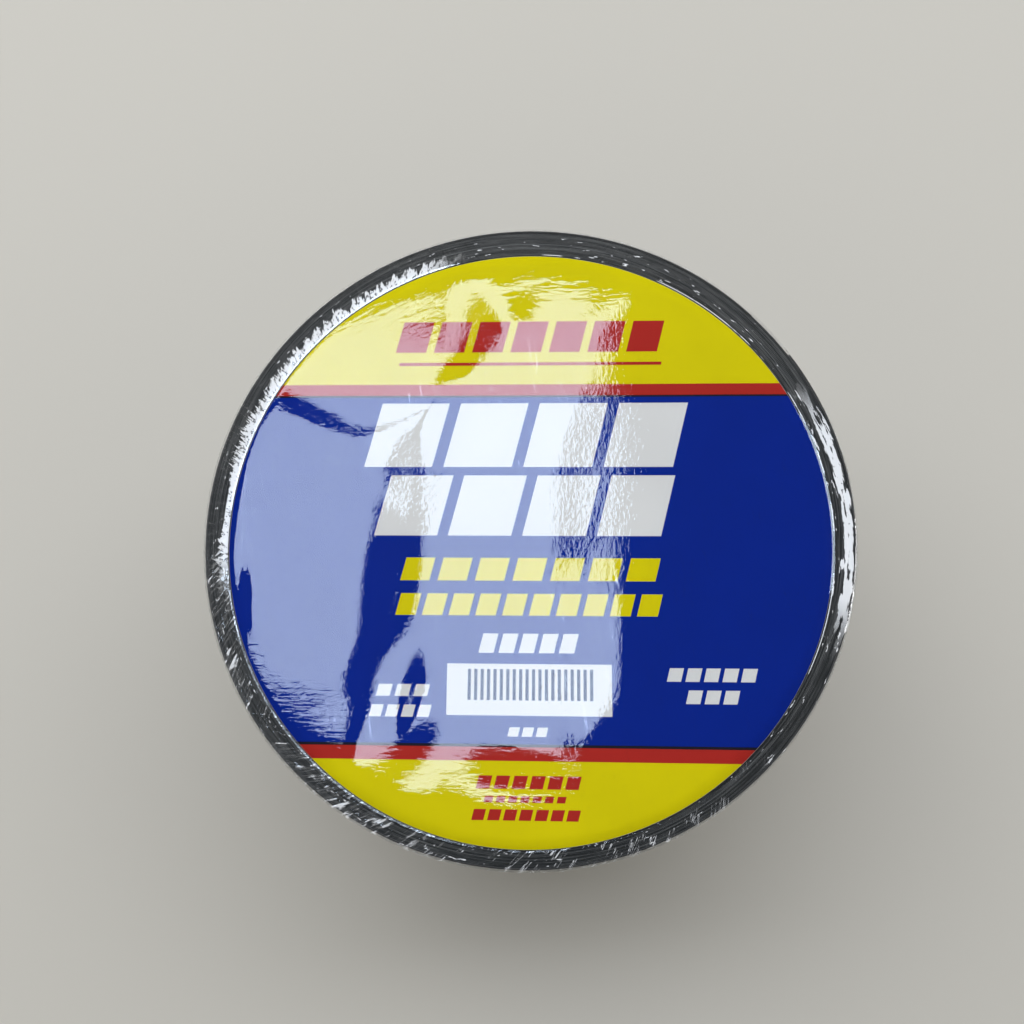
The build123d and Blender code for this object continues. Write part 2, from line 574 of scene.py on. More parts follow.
def tape_adhesive_material():
    """Rubber adhesive: grey, tacky and uneven."""
    material, w, shader = new_material("tape_adhesive")
    lumps = w.grain(stored_value(w, "along"), 0.6, object_place(w)[2], 0.6, 0.0, 4.0)
    colour = w.mix(lumps, (0.05, 0.05, 0.05, 1.0), (0.1, 0.1, 0.098, 1.0))
    dress(w, shader, colour, w.ramp(lumps, 0.3, 0.7, 0.35, 0.55), lumps, 0.4, 0.03)
    return material


tape_edges = tape_edge_material()
tape_backing = tape_backing_material()
tape_adhesive = tape_adhesive_material()

# %% [markdown]
# The bonded turns are wound first, from the core outwards, as one strip. Its outermost faces get the
# tape's cloth backing, because they show through the gap at the free end.

# %% Wind the tape
play = 0.012
strip_width = 47.6
strip_lift = 0.06
shared = {"Pitch": tape_thickness, "Width": strip_width, "Middle": roll_middle + strip_lift, "Seed": 3.0}
bonded_turns = (bonded_radius - core_radius) / tape_thickness
bonded_start = last_turn_start - 360 * bonded_turns
winding = grown("tape_winding", wound_tape, {
    **shared,
    "First Radius": core_radius,
    "Thickness": tape_thickness - play,
    "Start Angle": bonded_start,
    "Turns": bonded_turns,
    "Points per Turn": 180,
    "Wander": 0.05,
    "Step Turn": 21.5,
    "Step": 0.12,
    "Edge Round": 0.045,
    "Material": tape_edges,
})
finish_piece(winding, tape_edges, "tape_edges", "tape_inner_turns")
winding.data.materials.append(tape_backing)
outer_from = (bonded_radius - 0.06) * MM
for face in winding.data.polygons:
    outermost = math.hypot(face.center.x, face.center.y) > outer_from
    face.material_index = int(abs(face.normal.z) < 0.5 and outermost)

# %% [markdown]
# The last turn is where someone would start to peel, so it is made of its two real layers: the rubber
# adhesive inside and the coated cloth outside.

# %% Wind the last turn's two layers
last_turn = {
    **shared,
    "Start Angle": last_turn_start,
    "Turns": last_turn_share,
    "Points per Turn": 720,
    "Wander": 0.0,
    "Step": 0.0,
}
adhesive = grown("tape_last_turn_adhesive", wound_tape, {
    **last_turn,
    "First Radius": bonded_radius + 0.004,
    "Thickness": adhesive_thickness - 0.008,
    "Edge Round": 0.02,
    "Material": tape_adhesive,
})
finish_piece(adhesive, tape_adhesive, "tape_adhesive", "last_turn_adhesive")

backing = grown("tape_last_turn_backing", wound_tape, {
    **last_turn,
    "First Radius": bonded_radius + adhesive_thickness,
    "Thickness": backing_thickness,
    "Edge Round": 0.03,
    "Material": tape_backing,
})
finish_piece(backing, tape_backing, "tape_backing", "last_turn_backing")

# %% [markdown]
# ## The paper core
# The tape is wound on a tube of glued paper plies. The inner and outer plies are brown kraft, wound on
# as a helix, so a seam runs round the bore like a screw thread. The plies between are grey board.
# Turned tubes are enough for the plies, with fine grooves between them at the ends. The seam is a real
# step in the inner ply's wall.

# %% Core meshes
core_points = 360
bore_radius = 38.1
inner_ply_radius = node_radius("core_inner_ply")
middle_ply_radius = node_radius("core_middle_plies")
core_ease = 0.06
core_end_play = 0.03
seam_lead = 70.0
seam_step = 0.10
seam_slope = 0.02


def tube(name, inner, outer, rows, inner_wall=None):
    """A tube with eased edges, whose inner wall may follow a function of angle and height."""
    low = roll_bottom + core_end_play
    high = roll_top - core_end_play
    heights = np.linspace(low + core_ease, high - core_ease, rows)
    angles = np.linspace(0, math.tau, core_points, endpoint=False)
    rings = [(inner, height) for height in heights[::-1]]
    rings += [(inner + core_ease, low), (outer - core_ease, low), (outer, low + core_ease)]
    rings += [(outer, high - core_ease), (outer - core_ease, high), (inner + core_ease, high)]
    points = []
    for k, (radius, height) in enumerate(rings):
        radii = np.full(core_points, radius)
        if inner_wall is not None and k < rows:
            radii = radii + inner_wall(angles, height)
        level = np.full(core_points, height)
        points += np.column_stack([radii * np.cos(angles), radii * np.sin(angles), level]).tolist()
    return mesh_object(name, points, ring_faces(len(rings), core_points, closed_stack=True), 30.0)


def helical_seam(angles, height):
    """The inner ply's butt joint: the wall drops back at one edge and rises slowly to the next."""
    place = (angles / math.tau - height / seam_lead) % 1.0
    return seam_step * np.clip(1 - place / 0.02, 0, 1) + seam_slope * place


core_inner = tube("core_inner_ply_tube", bore_radius, inner_ply_radius, 49, helical_seam)
core_middle = tube("core_middle_plies_tube", inner_ply_radius, middle_ply_radius, 2)
core_outer = tube("core_outer_ply_tube", middle_ply_radius, core_radius, 2)

# %% [markdown]
# Kraft and grey board are the same stuff in two colours, so one function makes both.

# %% Paper materials


def paper_material(name, dark, light):
    """Uncoated paper board: a fibrous colour, with fine pits and a faint run of plies at its cut ends."""
    material, w, shader = new_material(name)
    x, y, z = object_place(w)
    place = w.vector(x, y, z)
    fibres = w.noise(place, 1.3, 6.0, 0.7)
    clouds = w.noise(place, 0.12, 2.0)
    plies = w.noise(w.vector(w.distance(x, y), 0.0, w.times(z, 0.02)), 5.0, 2.0)
    tone = w.plus(w.times(fibres, 0.55), w.times(w.plus(clouds, plies), 0.25))
    dress(w, shader, w.mix(w.ramp(tone, 0.35, 0.68), dark, light), 0.85, fibres, 0.5, 0.04)
    return material


kraft = paper_material("kraft_paper", (0.25, 0.15, 0.08, 1.0), (0.42, 0.28, 0.16, 1.0))
grey_board = paper_material("grey_board", (0.24, 0.21, 0.17, 1.0), (0.38, 0.34, 0.29, 1.0))
finish_piece(core_inner, kraft, "kraft_paper", "core_inner_ply")
finish_piece(core_middle, grey_board, "grey_board", "core_middle_plies")
finish_piece(core_outer, kraft, "kraft_paper", "core_outer_ply")

# %% [markdown]
# ## The label
# A card disc, cut with a steel rule, lies on the roll's end under the film. Over the core's open end
# nothing holds it up, so it dips a little there, and it never lies dead flat.

# %% Label disc
label_points = 360
label_rings = 26
label_dip = 0.15


def label_height(x, y):
    """How far the card lies below its nominal level."""
    from_middle = np.hypot(x, y) / label_radius
    dip = label_dip * np.clip(1 - (from_middle / 0.84) ** 2, 0, 1)
    ripple = 0.012 * np.sin(x * 0.21 + 1.0) * np.sin(y * 0.17 + 0.4)
    return dip + 0.05 + ripple


def label_mesh():
    """The card with its upper and lower face and a slightly rounded cut edge."""
    angles = np.linspace(0, math.tau, label_points, endpoint=False)
    ease = 0.05
    spread = np.linspace(0.04, 1.0, label_rings) * (label_radius - ease)
    rings = [(radius, label_top) for radius in spread]
    rings += [(label_radius, label_top - ease), (label_radius, label_low[2] + ease)]
    rings += [(radius, label_low[2]) for radius in spread[::-1]]
    points = []
    for radius, height in rings:
        x = radius * np.cos(angles)
        y = radius * np.sin(angles)
        heights = height - label_height(x, y)
        points += np.column_stack([x + label_centre[0], y + label_centre[1], heights]).tolist()
    faces = ring_faces(len(rings), label_points)
    last = (len(rings) - 1) * label_points
    faces.append(tuple(range(label_points))[::-1])
    faces.append(tuple(last + i for i in range(label_points)))
    return mesh_object("label_card", points, [tuple(reversed(face)) for face in faces], 50.0)


label = label_mesh()

# %% [markdown]
# ### What is printed on it
# The print is a few bands that run straight across: yellow, red, a thin black line, a wide blue field,
# and the same again below. Rows of plain slanted bars stand where a maker's words would be, so the label
# has its weight and rhythm without any lettering.
# A picture file would be the usual way to print a label. Here each row of bars is one node group that
# answers a question for every point: how far inside a bar is it? The edge stays sharp at any distance.

# %% The row of printed bars


def printed_row_group():
    """A mask of equal slanted bars in a row, with crisp edges."""
    inputs = {
        "X": 0.0,
        "Y": 0.0,
        "Left": 0.0,
        "Centre": 0.0,
        "Pitch": 1.0,
        "Count": 1.0,
        "Bar Width": 0.8,
        "Height": 1.0,
        "Slant": 0.0,
        "Edge": 0.05,
    }
    w, given, result = new_group("printed_row", "ShaderNodeTree", inputs, {"Mask": "NodeSocketFloat"})
    above = w.minus(given["Y"], given["Centre"])
    upright_x = w.minus(given["X"], w.times(above, given["Slant"]))
    bars = w.math("DIVIDE", w.minus(upright_x, given["Left"]), given["Pitch"])
    in_bar = w.times(w.math("FRACT", bars), given["Pitch"])
    from_side = w.smaller(in_bar, w.minus(given["Bar Width"], in_bar))
    gap_share = w.minus(1.0, w.math("DIVIDE", given["Bar Width"], given["Pitch"]))
    row_end = w.times_plus(gap_share, -0.5, given["Count"])
    from_end = w.smaller(bars, w.minus(row_end, bars))
    from_top = w.minus(w.times(given["Height"], 0.5), w.math("ABSOLUTE", above))
    inside = w.smaller(from_side, from_top)
    inside = w.smaller(inside, w.times(from_end, given["Pitch"]))
    w.feed(result["Mask"], w.ramp(w.math("DIVIDE", inside, given["Edge"]), -0.5, 0.5))
    return w.tree


printed_row = printed_row_group()

# %% [markdown]
# Each row is written as where it starts, where its middle lies, how many bars it has, how wide and how
# high they are and how far apart. Bands are written from the top down, each with the level of its upper
# edge. Levels are millimetres from the label's centre.

# %% The label's layout
white = (0.75, 0.75, 0.73, 1.0)
yellow = (0.72, 0.63, 0.001, 1.0)
red = (0.44, 0.025, 0.018, 1.0)
blue = (0.0008, 0.019, 0.262, 1.0)
black = (0.012, 0.012, 0.02, 1.0)
dark_blue = (0.02, 0.03, 0.12, 1.0)
slant = 0.25
print_skew = 0.0045

bands = [(23.3, red), (21.55, black), (21.25, blue), (-30.2, black), (-30.6, red), (-32.5, yellow)]

row_sizes = ("Left", "Centre", "Pitch", "Count", "Bar Width", "Height")
slanted_rows = [
    # paint, left end, level of the middle, pitch, number of bars, a bar's width and height
    (white, -23.4, 15.3, 12.0, 4, 10.3, 10.0),
    (white, -21.6, 4.4, 11.0, 4, 9.4, 9.2),
    (yellow, -18.2, -5.2, 5.5, 7, 4.3, 3.4),
    (yellow, -18.8, -10.4, 3.9, 10, 3.0, 3.2),
    (white, -6.6, -16.0, 2.9, 5, 2.2, 2.8),
    (white, -21.4, -22.8, 2.7, 3, 2.0, 1.7),
    (white, -22.3, -25.7, 2.3, 4, 1.7, 1.7),
    (white, 20.2, -20.3, 2.6, 5, 2.0, 1.9),
    (white, 22.8, -23.4, 2.6, 3, 2.0, 1.9),
    (white, -2.5, -28.5, 2.0, 3, 1.5, 1.3),
    (red, -19.8, 31.0, 5.9, 7, 4.7, 5.0),
    (red, -6.8, -35.4, 2.5, 6, 1.9, 1.8),
    (red, -5.8, -37.7, 1.7, 7, 1.2, 0.9),
    (red, -7.4, -39.8, 2.2, 7, 1.7, 1.5),
    (red, -19.8, 26.6, 40.1, 1, 40.1, 0.5),
]
upright_rows = [
    (white, -11.4, -22.6, 23.6, 1, 23.6, 7.3),
    (dark_blue, -8.4, -21.9, 0.92, 20, 0.46, 4.4),
]
print(f"{len(bands)} bands and {len(slanted_rows) + len(upright_rows)} rows")

# %% [markdown]
# The printed material starts from yellow card and lays one paint over the other, each through its mask.
# The card's cut edge and its back stay plain board, so the paint is kept to the upper face.

# %% The label's material


def printed_rows(w, colour, across, level):
    """The rows of bars, laid one after the other over a colour."""
    for rows, lean in ((slanted_rows, slant), (upright_rows, 0.0)):
        for paint, *sizes in rows:
            inputs = {"X": across, "Y": level, "Slant": lean, **dict(zip(row_sizes, sizes))}
            colour = w.mix(w.step("ShaderNodeGroup", inputs, node_tree=printed_row), colour, paint)
    return colour


def label_material():
    """Coated card, printed with bands and rows of bars on its upper face, and plain grey board below."""
    material, w, shader = new_material("label_print")
    x, y, z = object_place(w)
    across = w.minus(x, label_centre[0])
    up = w.minus(y, label_centre[1])
    ink_edge = w.times(w.minus(w.noise(w.vector(x, y, 0.0), 14.0, 2.0), 0.5), 0.06)
    level = w.plus(w.plus(up, w.times(across, print_skew)), ink_edge)

    colour = yellow
    for top, paint in bands:
        colour = w.mix(w.ramp(w.minus(top, level), -0.02, 0.02), colour, paint)
    colour = printed_rows(w, colour, w.plus(across, ink_edge), level)

    coating = w.noise(w.vector(x, y, 1.0), 9.0, 3.0, 0.7)
    wash = w.noise(w.vector(x, y, 2.0), 0.09, 3.0)
    tone = w.plus(w.ramp(coating, 0.3, 0.7, 0.95, 1.04), w.ramp(wash, 0.3, 0.7, -0.03, 0.03))
    grey = w.step("ShaderNodeCombineColor", {0: tone, 1: tone, 2: tone})
    toned = w.add("ShaderNodeMix", {0: 1.0, 6: colour, 7: grey}, data_type="RGBA", blend_type="MULTIPLY")

    fibres = w.noise(w.vector(x, y, z), 3.0, 5.0, 0.7)
    board = w.mix(w.ramp(fibres, 0.35, 0.65), (0.40, 0.38, 0.34, 1.0), (0.52, 0.50, 0.46, 1.0))
    inwards = w.minus(label_radius, w.distance(across, up))
    on_top = w.ramp(z, label_low[2] + 0.05, label_low[2] + 0.06)
    face = w.times(on_top, w.ramp(inwards, 0.03, 0.07))
    shader.inputs["Specular IOR Level"].default_value = 0.03
    roughness = w.ramp(coating, 0.3, 0.7, 0.42, 0.52)
    dress(w, shader, w.mix(face, board, toned.outputs[2]), roughness, coating, 0.15, 0.01)
    return material


label_print = label_material()
finish_piece(label, label_print, "label_card", "label_disc")

# %% [markdown]
# ## The shrink film
# A loose sleeve of clear film was put over the roll, cut and welded shut, and blown with hot air until
# it drew tight. It lies nearly flat over the label. From the label's edge it slopes down to the tape's
# cut edges and then turns over the rim. There is more film than the rim needs, so it gathers there:
# in fine radial pleats where it shrank evenly, and in a crumpled net of creases where it did not.
# A cloth simulation could crumple a sheet like this, but it would need millions of faces for pleats of
# half a millimetre. The relief is written as a function instead. It reads how far round the roll a point
# is and how far it has travelled over the rim from the label's edge, so the end panels and the skirts
# read the same function and meet exactly.

# %% Noise round the roll


def lattice_noise(turn, across, cells, rows_across, seed):
    """Smooth noise from -1 to 1 on a band that closes on itself: turn and across both run 0 to 1."""
    grid = np.random.default_rng(seed).uniform(-1, 1, (rows_across + 2, cells))
    along = (turn % 1.0) * cells
    over = np.clip(across, 0, 1) * rows_across
    i = np.floor(along).astype(int)
    j = np.floor(over).astype(int)
    blend_i = along - i
    blend_j = over - j
    blend_i = blend_i * blend_i * (3 - 2 * blend_i)
    blend_j = blend_j * blend_j * (3 - 2 * blend_j)
    here = i % cells
    beside = (i + 1) % cells
    lower = grid[j, here] * (1 - blend_i) + grid[j, beside] * blend_i
    upper = grid[j + 1, here] * (1 - blend_i) + grid[j + 1, beside] * blend_i
    return lower * (1 - blend_j) + upper * blend_j


def rise(value, low, high):
    """0 below low, 1 above high, and a smooth rise between."""
    share = np.clip((value - low) / (high - low), 0, 1)
    return share * share * (3 - 2 * share)


def sector(turn, middle, half, soft):
    """1 within an arc of the roll, in degrees, and 0 outside it, with soft ends."""
    away = np.abs((turn * 360 - middle + 180) % 360 - 180)
    return 1 - rise(away, half - soft / 2, half + soft / 2)


# %% [markdown]
# The film's section is the same all the way round: flat over the label, a gentle slope from the label's
# edge, a steeper one after its knee, a tight corner over the rim, and the straight side. `film_section`
# gives a point of it and the direction that it faces.

# %% The film's section
film_side = film_radius + 0.4
film_corner = 0.45
film_flat = label_top + 0.11
film_reach = 28.0
roll_off = 2.5
roll_off_drop = 0.03
knee_softness = 0.15
taut_radius = label_radius - 1.5


def label_edge(turn):
    """The label's edge as a distance from the roll's axis, which differs round the roll."""
    angle = turn * math.tau
    return label_radius + label_centre[0] * np.cos(angle) + label_centre[1] * np.sin(angle) + 0.05


def bottom_edge(turn):
    """The lower end has no label, so its film slopes from the same distance all the way round."""
    return np.full_like(turn, label_radius)


def knee(turn, style):
    """How far from the label's edge the slope steepens: unevenly, in teeth, where the film is pleated."""
    coarse = lattice_noise(turn, 0.0 * turn, 250, 1, style["seed"] + 30)
    fine = lattice_noise(turn, 0.0 * turn, 560, 1, style["seed"] + 31)
    close = sector(turn, 178, 13, 10)
    teeth = coarse * (1 - close) + fine * close
    return style["knee"](turn) + 0.55 * style["pleated"](turn) * teeth


def film_section(turn, travel, style):
    """Radius, level and facing of the smooth film after a travel from the edge, outwards and down."""
    edge = style["edge"](turn)
    run = film_side - film_corner - edge
    gentle = math.tan(math.radians(style["slopes"][0]))
    steep = math.tan(math.radians(style["slopes"][1]))
    flat_travel = np.minimum(travel, run)
    beyond = flat_travel - knee(turn, style)
    bending = np.clip(beyond + knee_softness, 0, None) ** 2 / (4 * knee_softness)
    extra = np.where(beyond > knee_softness, beyond, bending)
    fall = gentle * flat_travel + (steep - gentle) * extra
    first_bend = math.atan(steep)
    corner_run = film_corner * (math.pi / 2 - first_bend)
    bend = first_bend + np.clip((travel - run) / film_corner, 0, math.pi / 2 - first_bend)
    depth = np.maximum(travel - run - corner_run, 0)
    hug = 0.12 * (1 - np.exp(-depth / 3.0))
    radius = edge + flat_travel + film_corner * (np.sin(bend) - math.sin(first_bend)) - hug
    eased = roll_off_drop * np.clip(1 + travel / roll_off, 0, 1) ** 2
    level = film_flat - eased - fall - film_corner * (math.cos(first_bend) - np.cos(bend)) - depth
    return radius, level, np.sin(bend), np.cos(bend)


print(f"film: side at {film_side:.2f} mm, flat top at {film_flat:.2f} mm")

# %% [markdown]
# The gathered film has two patterns. Pleats are the folded waves of a sine that counts round the roll,
# closer together on one side. Creases are the sharp crests of a noise, at two sizes.

# %% Pleats and creases


def pleats(turn, travel, closest, seed):
    """Radial pleats from 0 to 1, which stand closest together at one place round the roll."""
    middle_count = 400
    swing = 27
    wobble = 0.55 * lattice_noise(turn, travel / film_reach, 260, 30, seed)
    phase = middle_count * turn + swing * np.sin((turn - closest / 360) * math.tau) + wobble
    crest = np.abs(np.sin(math.pi * phase)) ** 1.4
    tall = 0.6 + 0.4 * lattice_noise(turn, travel / film_reach, 500, 6, seed + 1)
    return crest * tall


def creases(turn, travel, seed):
    """A net of sharp creases from 0 to 1."""
    wide = 1 - np.abs(lattice_noise(turn, travel / film_reach, 210, 34, seed))
    fine = 1 - np.abs(lattice_noise(turn + 0.1 * travel / 300, travel / film_reach, 470, 70, seed + 1))
    return 0.65 * wide**3 + 0.35 * fine**3


# %% [markdown]
# The relief adds them up. Each pattern has its share of the roll's turn and of the travel over the rim,
# and the side sags a little and puckers at the weld. The two ends differ, so what differs stands in a
# style: plain numbers, and functions of the turn.

# %% The film's relief


def film_relief(turn, travel, style):
    """How far the film stands off its smooth section."""
    seed = style["seed"]
    over_rim = rise(travel, 2.0, 3.4) * (1 - rise(travel, 4.6, 11.0))
    tall = 0.06 * over_rim * (0.3 + 0.7 * style["pleated"](turn))
    pleated = tall * pleats(turn, travel, style["closest"], seed)
    net = rise(travel, 0.3, 1.2) * (1 - 0.75 * rise(travel, 4.5, 13.0)) * (1 - rise(travel, 20.0, 23.4))
    crumpled = 0.11 * net * style["crumpled"](turn) * creases(turn, travel, seed + 7)
    streaked = 0.02 * net * lattice_noise(turn, travel / film_reach, 70, 90, seed + 11)
    on_side = rise(travel, 4.0, 9.0)
    sagging = 0.035 * on_side * lattice_noise(turn, travel / film_reach, 46, 3, seed + 12)
    near_weld = np.exp(-np.abs(film_reach - 0.8 - travel) / 1.6)
    puckered = 0.05 * near_weld * lattice_noise(turn, 0.0 * travel, 230, 1, seed + 13)
    return pleated + crumpled + streaked + sagging + puckered


top_style = {
    "seed": 20,
    "edge": label_edge,
    "slopes": (3.2, 9.0),
    "knee": lambda turn: 0.15 + 1.0 * sector(turn, 148, 44, 8) + 0.1 * sector(turn, 5, 24, 20),
    "closest": 185.0,
    "pleated": lambda turn: sector(turn, 148, 46, 14),
    "crumpled": lambda turn: 0.15 + 0.85 * sector(turn, 222, 32, 22) + 0.5 * sector(turn, 285, 35, 20),
    "upper": True,
}
bottom_style = {
    "seed": 60,
    "edge": bottom_edge,
    "slopes": (0.2, 0.5),
    "knee": lambda turn: 1.0 + 0.0 * turn,
    "closest": 300.0,
    "pleated": lambda turn: 0.4 + 0.6 * sector(turn, 60, 60, 30),
    "crumpled": lambda turn: 0.25 + 0.6 * sector(turn, 250, 50, 40),
    "upper": False,
}

# %% [markdown]
# Over the label the film is flat but never a perfect mirror: it sags in slow waves of a few hundredths of
# a millimetre, and is pulled up or down by up to 0.15 mm in set places. That is enough to bend the edge
# of a mirrored lamp by several millimetres.
# The numbers in `pulls` weren't chosen by hand. A fitting program moved the pulls, and with them the three
# ceiling panels that the label mirrors, until the mirrored edges ran where they do on the real roll.

# %% Waves and pulls over the label
pulls = [
    # middle x, middle y, length, width, heading in degrees, height
    (-18.5, -27.9, 12.0, 2.8, 78.0, -0.096),
    (-30.8, 18.4, 6.7, 1.8, 156.0, 0.022),
    (-39.2, -11.3, 3.0, 8.0, 173.0, 0.152),
    (-8.0, -40.5, 16.0, 2.9, 173.0, 0.085),
    (-2.2, 31.3, 9.1, 3.9, 117.0, 0.117),
    (-14.3, 21.9, 16.0, 1.8, 82.0, 0.040),
    (5.1, 15.7, 16.0, 2.1, 71.0, 0.056),
    (5.7, -17.5, 16.0, 4.4, 81.0, -0.081),
    (-25.6, -37.1, 10.5, 5.3, 178.0, 0.123),
    (-1.6, 40.2, 12.8, 1.8, 47.0, 0.011),
    (14.6, -23.7, 7.0, 1.8, 85.0, 0.039),
    (-32.4, 12.2, 16.0, 1.9, 144.0, -0.037),
    (-15.7, -34.2, 16.0, 3.3, 52.0, -0.084),
    (-11.8, 21.3, 16.0, 3.7, 44.0, 0.108),
    (-9.4, -37.1, 3.0, 3.8, 41.0, 0.032),
    (5.1, 12.2, 14.1, 4.0, 66.0, 0.087),
    (-32.0, 15.4, 7.0, 2.0, 162.0, 0.035),
    (-14.0, 39.0, 16.0, 4.0, 10.0, 0.090),
    (-21.4, -23.3, 16.0, 4.3, 18.0, -0.053),
    (3.4, -0.4, 3.0, 8.0, 167.0, 0.045),
    (9.7, -3.7, 3.1, 2.1, 61.0, -0.018),
    (-20.3, -10.6, 15.4, 4.1, 83.0, -0.066),
    (-41.3, 13.2, 16.0, 1.8, 66.0, -0.025),
    (3.7, -30.9, 3.0, 8.0, 85.0, 0.063),
    (9.2, -20.1, 16.0, 3.0, 79.0, -0.040),
    (-7.4, 22.9, 16.0, 2.8, 26.0, 0.112),
]


def label_waves(x, y, seed):
    """How far the film stands above its flat level over the label, in millimetres."""
    random = np.random.default_rng(seed)
    total = np.zeros_like(x)
    for _ in range(12):
        heading = random.uniform(0, math.pi)
        length = random.uniform(11, 40)
        start = random.uniform(0, math.tau)
        reading = (x * math.cos(heading) + y * math.sin(heading)) / length * math.tau + start
        total += np.sin(reading) * 0.0035 * length / 12
    for pull_x, pull_y, length, width, heading, height in pulls:
        turned = math.radians(heading)
        along = (x - pull_x) * math.cos(turned) + (y - pull_y) * math.sin(turned)
        beside = (y - pull_y) * math.cos(turned) - (x - pull_x) * math.sin(turned)
        total += height * np.exp(-((along / length) ** 2) - (beside / width) ** 2)
    return total


# %% [markdown]
# An end panel is a fine band over the rim, where the pleats are, and a coarser disc inside it. One
# many-sided face joins the fine points to one coarse step. The lower end is the upper one turned over.

# %% Rings and sheets of film
fine_points = 1600
coarse_points = 320
coarse_rings = 50
inset = 0.3
lower_level = film_flat + film_thickness + 0.08


def film_ring(turn, radius, level, facing_out, facing_up, travel, style):
    """One ring of the film with its waves and relief, and the travel of its points."""
    angle = turn * math.tau
    x = radius * np.cos(angle)
    y = radius * np.sin(angle)
    over_label = rise(-travel, 0.0, 3.0)
    wave_share = 1.0 if style["upper"] else 0.25
    waves = wave_share * label_waves(x, y, style["seed"]) * over_label
    relief = film_relief(turn, travel, style) * (travel > 0) + waves
    radius = radius + relief * facing_out
    height = level + relief * facing_up
    if style["upper"]:
        card = label_top - label_height(x - label_centre[0], y - label_centre[1]) + 0.02
        height = np.where(travel < -0.1, np.maximum(height, card), height)
    else:
        height = lower_level - height
    points = np.column_stack([radius * np.cos(angle), radius * np.sin(angle), height])
    return points, travel


def film_object(name, rings, faces, upper):
    """A sheet of film with its thickness, carrying the travel of its points."""
    points = np.concatenate([ring[0] for ring in rings])
    travels = np.concatenate([ring[1] for ring in rings]).astype(np.float32)
    if upper:
        faces = [tuple(reversed(face)) for face in faces]
    sheet = mesh_object(name, points, faces, 180.0)
    sheet.data.attributes.new("travel", "FLOAT", "POINT").data.foreach_set("value", travels)
    wall = sheet.modifiers.new("wall", "SOLIDIFY")
    wall.thickness = film_thickness * MM
    wall.offset = 1.0
    return with_modifiers_applied(sheet)


# %% [markdown]
# The panel is built from its middle outwards. Its rings lie close together over the rim, where the
# relief is fine, and wide apart over the label.

# %% Film panel


def film_panel(name, style):
    """One end of the film, from its middle to where the side begins."""
    fine = np.arange(fine_points) / fine_points
    coarse = np.arange(coarse_points) / coarse_points
    rings = []
    edge = style["edge"](coarse)
    for share in np.linspace(0.012, 1, coarse_rings + 1)[:-1]:
        radius = share * (edge - inset)
        travel = radius - edge
        level = film_flat - roll_off_drop * np.clip(1 + travel / roll_off, 0, 1) ** 2
        rings.append(film_ring(coarse, radius, level, 0.0, 1.0, travel, style))
    edge = style["edge"](fine)
    run = film_side - film_corner - edge
    travels = [np.full(fine_points, travel) for travel in (-inset, -inset * 0.4, 0.0)]
    travels += [run * share for share in np.linspace(0.04, 1, 12)]
    corner_run = film_corner * (math.pi / 2 - math.radians(style["slopes"][1]))
    travels += [run + corner_run * share for share in (0.25, 0.5, 0.75, 1.0)]
    for travel in travels:
        rings.append(film_ring(fine, *film_section(fine, travel, style), travel, style))

    faces = ring_faces(coarse_rings, coarse_points)
    faces.append(tuple(range(coarse_points))[::-1])
    last_coarse = (coarse_rings - 1) * coarse_points
    first_fine = coarse_rings * coarse_points
    step = fine_points // coarse_points
    for i in range(coarse_points):
        fine_run = [first_fine + (i * step + k) % fine_points for k in range(step + 1)]
        faces.append((last_coarse + i, last_coarse + (i + 1) % coarse_points, *fine_run[::-1]))
    faces += [tuple(first_fine + index for index in face) for face in ring_faces(len(travels), fine_points)]
    return film_object(name, rings, faces, style["upper"])


# %% [markdown]
# A skirt starts with the panel's last ring, so the two meet point by point, and runs down to the weld.
# Its rings are closest together at the rim.

# %% Film skirts


def film_skirt(name, style):
    """Half of the film's side, from the rim to the weld at mid height."""
    turn = np.arange(fine_points) / fine_points
    edge = style["edge"](turn)
    steep = math.radians(style["slopes"][1])
    start = film_side - film_corner - edge + film_corner * (math.pi / 2 - steep)
    rim_level = film_section(turn, start, style)[1]
    seam_level = roll_middle if style["upper"] else lower_level - roll_middle
    rings = []
    for share in np.linspace(0, 1, 17) ** 1.6:
        travel = start + (rim_level - seam_level) * share
        rings.append(film_ring(turn, *film_section(turn, travel, style), travel, style))
    return film_object(name, rings, ring_faces(len(rings), fine_points), style["upper"])


film_top_piece = film_panel("film_over_label", top_style)
film_top_side = film_skirt("film_upper_side", top_style)
film_bottom_piece = film_panel("film_under_roll", bottom_style)
film_bottom_side = film_skirt("film_lower_side", bottom_style)
